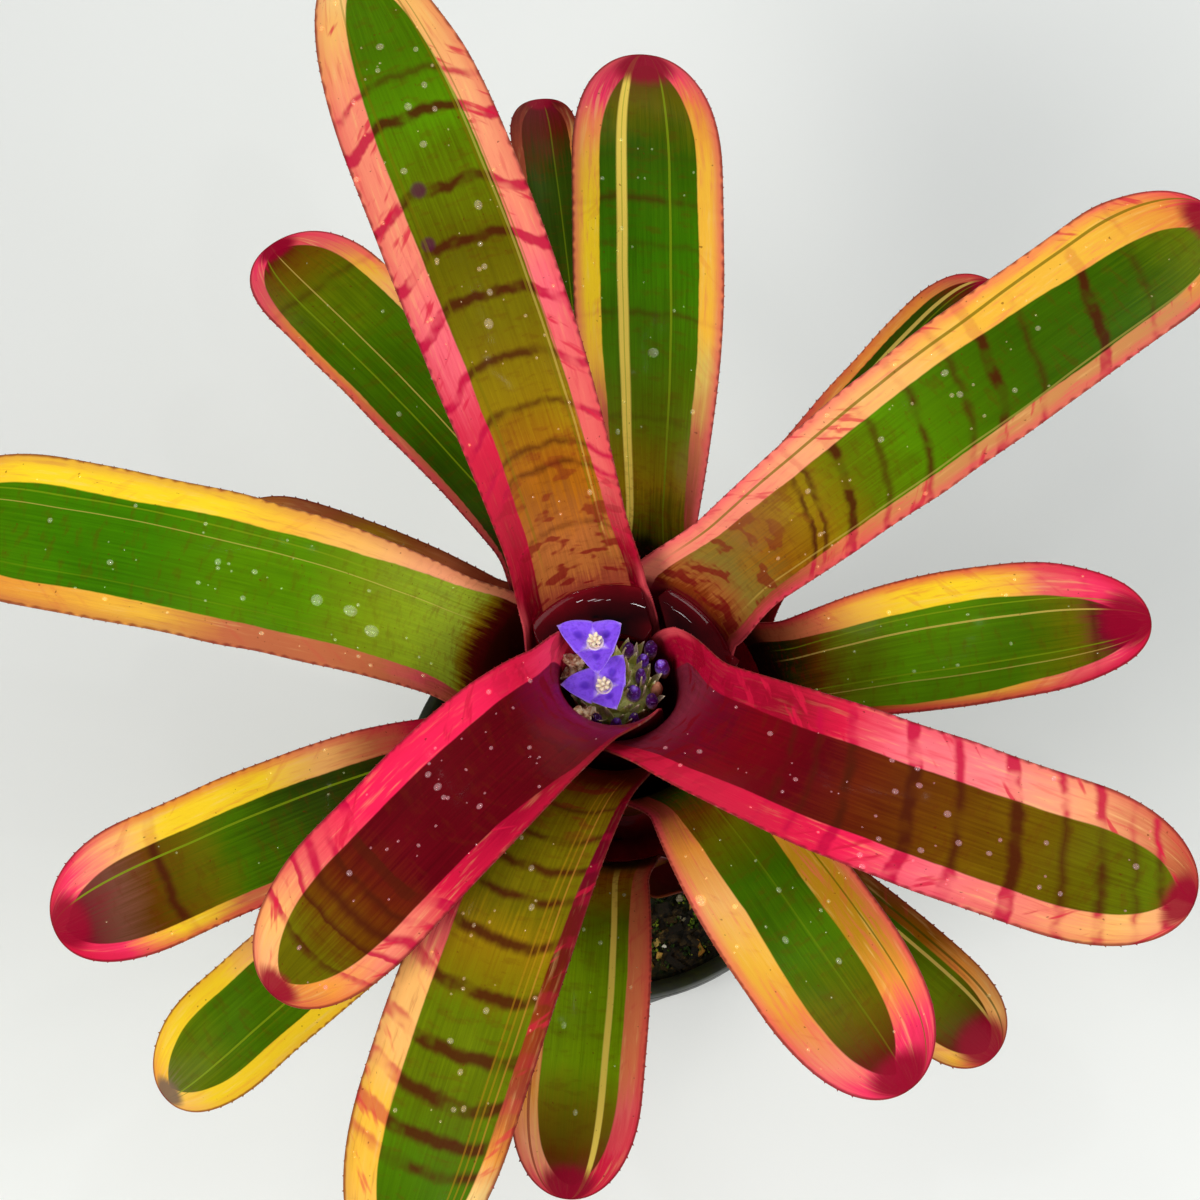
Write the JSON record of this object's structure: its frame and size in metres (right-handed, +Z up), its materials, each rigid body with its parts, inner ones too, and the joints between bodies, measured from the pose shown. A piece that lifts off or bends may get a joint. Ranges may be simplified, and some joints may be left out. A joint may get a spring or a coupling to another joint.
{
  "type": "potted bromeliad",
  "caption": "Flowering neoregelia bromeliad with cream-edged, red-flushed banded leaves, water in its axils, in a round plastic nursery pot.",
  "frame": {"origin": "centre of the pot's underside, on the surface it stands on", "axes": "+Z up along the pot's axis; -Y towards the viewer, +X to the viewer's right"},
  "size_m": [0.3351, 0.3334, 0.2444],
  "materials": {
    "pot_plastic": "satin",
    "mix": "matte",
    "stem": "matte",
    "leaf_red": "gloss",
    "leaf_banded": "gloss",
    "leaf_green": "gloss",
    "bracts": "satin",
    "petals": "satin",
    "water": "gloss"
  },
  "bodies": {
    "root": {"pot": "pot_plastic", "potting_mix": "mix", "stem": "stem", "leaf_01": "leaf_red", "leaf_02": "leaf_red", "leaf_03": "leaf_banded", "leaf_04": "leaf_banded", "leaf_05": "leaf_banded", "leaf_06": "leaf_green", "leaf_07": "leaf_green", "leaf_08": "leaf_green", "leaf_09": "leaf_green", "leaf_10": "leaf_green", "leaf_11": "leaf_green", "leaf_12": "leaf_green", "leaf_13": "leaf_green", "leaf_14": "leaf_green", "leaf_15": "leaf_green", "leaf_16": "leaf_green", "leaf_17": "leaf_green", "flower_head": "bracts", "flower_1": "petals", "flower_2": "petals", "pool_1": "water", "pool_2": "water", "pool_3": "water", "pool_4": "water"}
  },
  "joints": []
}
